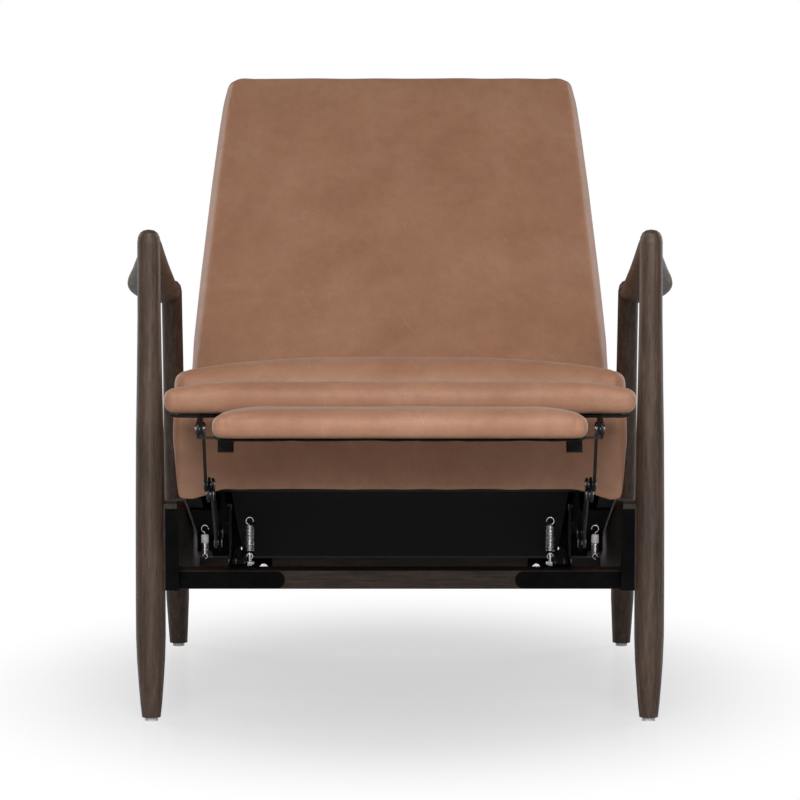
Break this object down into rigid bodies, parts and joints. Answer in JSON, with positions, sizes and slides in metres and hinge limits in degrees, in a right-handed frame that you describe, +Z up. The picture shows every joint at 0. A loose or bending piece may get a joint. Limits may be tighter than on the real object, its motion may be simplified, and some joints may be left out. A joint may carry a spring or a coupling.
{
  "type": "reclining armchair",
  "caption": "Push-back reclining armchair with turned walnut legs, paddle arms, leather seat and tapered back, and a folding two-stage footrest on steel links.",
  "frame": {"origin": "on the floor under the middle of the chair's overall box, reclined", "axes": "+X to the sitter's left, +Y to the rear, +Z up; the sitter faces -Y"},
  "size_m": [0.758, 1.47, 0.8328],
  "materials": {
    "walnut": "satin",
    "leather": "satin",
    "plywood": "matte",
    "black_steel": "satin",
    "zinc": "satin",
    "black_cloth": "matte",
    "glide_plastic": "matte"
  },
  "bodies": {
    "frame": {"front_leg_l": "walnut", "front_leg_r": "walnut", "rear_leg_l": "walnut", "rear_leg_r": "walnut", "arm_l": "walnut", "arm_r": "walnut", "side_rail_l": "walnut", "side_rail_r": "walnut", "front_stretcher": "walnut", "rear_stretcher": "walnut", "foot_glides": "glide_plastic", "corner_brackets": "black_steel", "mechanism_base_l": "black_steel", "mechanism_base_r": "black_steel", "base_rivets": "zinc", "stretcher_bolts": "zinc", "tension_springs": "zinc"},
    "front_swing": {"front_swing_links": "black_steel"},
    "rear_swing": {"rear_swing_links": "black_steel"},
    "seat": {"seat_side_board_l": "plywood", "seat_side_board_r": "plywood", "seat_front_board": "plywood", "seat_rear_board": "plywood", "rear_corner_blocks": "plywood", "seat_webbing": "black_cloth", "seat_cushion": "leather", "seat_apron": "leather", "seat_cheek_l": "leather", "seat_cheek_r": "leather", "dust_cover": "black_cloth", "seat_side_plate_l": "black_steel", "seat_side_plate_r": "black_steel", "seat_rivets": "zinc", "torque_tube": "black_steel", "back_pivot_bolts": "zinc"},
    "lower_links": {"lower_link_l": "black_steel", "lower_link_r": "black_steel"},
    "control_links": {"lower_control_links": "black_steel"},
    "mid_plates": {"mid_plates": "black_steel", "mid_rivets": "zinc"},
    "upper_links": {"upper_link_l": "black_steel", "upper_link_r": "black_steel"},
    "ottoman": {"ottoman_bracket_l": "black_steel", "ottoman_bracket_r": "black_steel", "ottoman_rivets": "zinc", "footrest_board": "black_cloth", "footrest_cushion": "leather"},
    "flipper": {"flipper_bracket_l": "black_steel", "flipper_bracket_r": "black_steel", "flipper_board": "black_cloth", "flipper_cushion": "leather", "care_tags": "black_cloth"},
    "back": {"back_hinge_plate_l": "black_steel", "back_hinge_plate_r": "black_steel", "back_hinge_blocks": "plywood", "back_board": "plywood", "back_cushion": "leather", "back_outer_panel": "leather"}
  },
  "joints": [
    {"name": "seat_swing", "type": "hinge", "parent": "frame", "child": "front_swing", "pos_m": [0, -0.146, 0.19], "axis": [-1, 0, 0], "range_deg": [0, 34]},
    {"name": "seat_tilt", "type": "hinge", "parent": "front_swing", "child": "seat", "pos_m": [0, -0.161, 0.267], "axis": [1, 0, 0], "range_deg": [0, 41.51]},
    {"name": "rear_swing", "type": "hinge", "parent": "frame", "child": "rear_swing", "pos_m": [0, 0.183, 0.146], "axis": [-1, 0, 0], "range_deg": [0, 25.9]},
    {"name": "lower_link_turn", "type": "hinge", "parent": "seat", "child": "lower_links", "pos_m": [0, -0.34, 0.252], "axis": [-1, 0, 0], "range_deg": [0, 71.01]},
    {"name": "control_link_turn", "type": "hinge", "parent": "seat", "child": "control_links", "pos_m": [0, -0.3619, 0.2422], "axis": [-1, 0, 0], "range_deg": [0, 71.01]},
    {"name": "mid_plate_turn", "type": "hinge", "parent": "lower_links", "child": "mid_plates", "pos_m": [0, -0.45026, 0.32637], "axis": [1, 0, 0], "range_deg": [0, 71.01]},
    {"name": "upper_link_turn", "type": "hinge", "parent": "mid_plates", "child": "upper_links", "pos_m": [0, -0.45026, 0.32637], "axis": [1, 0, 0], "range_deg": [0, 115.04]},
    {"name": "ottoman_turn", "type": "hinge", "parent": "upper_links", "child": "ottoman", "pos_m": [0, -0.51059, 0.40353], "axis": [-1, 0, 0], "range_deg": [0, 34.04]},
    {"name": "flipper_fold", "type": "hinge", "parent": "ottoman", "child": "flipper", "pos_m": [0, -0.55246, 0.40692], "axis": [1, 0, 0], "range_deg": [0, 178], "deforming": ["care_tags"]},
    {"name": "back_recline", "type": "hinge", "parent": "seat", "child": "back", "pos_m": [0, 0.2021, 0.2593], "axis": [1, 0, 0], "range_deg": [0, 17.5]}
  ],
  "couplings": [
    {"joint": "seat_tilt", "follows": "seat_swing", "ratio": 1.2207},
    {"joint": "rear_swing", "follows": "seat_swing", "ratio": 0.76157},
    {"joint": "lower_link_turn", "follows": "seat_swing", "ratio": 2.0882},
    {"joint": "control_link_turn", "follows": "seat_swing", "ratio": 2.0882},
    {"joint": "mid_plate_turn", "follows": "seat_swing", "ratio": 2.0882},
    {"joint": "upper_link_turn", "follows": "seat_swing", "ratio": 3.3832},
    {"joint": "ottoman_turn", "follows": "seat_swing", "ratio": 1.0008}
  ]
}
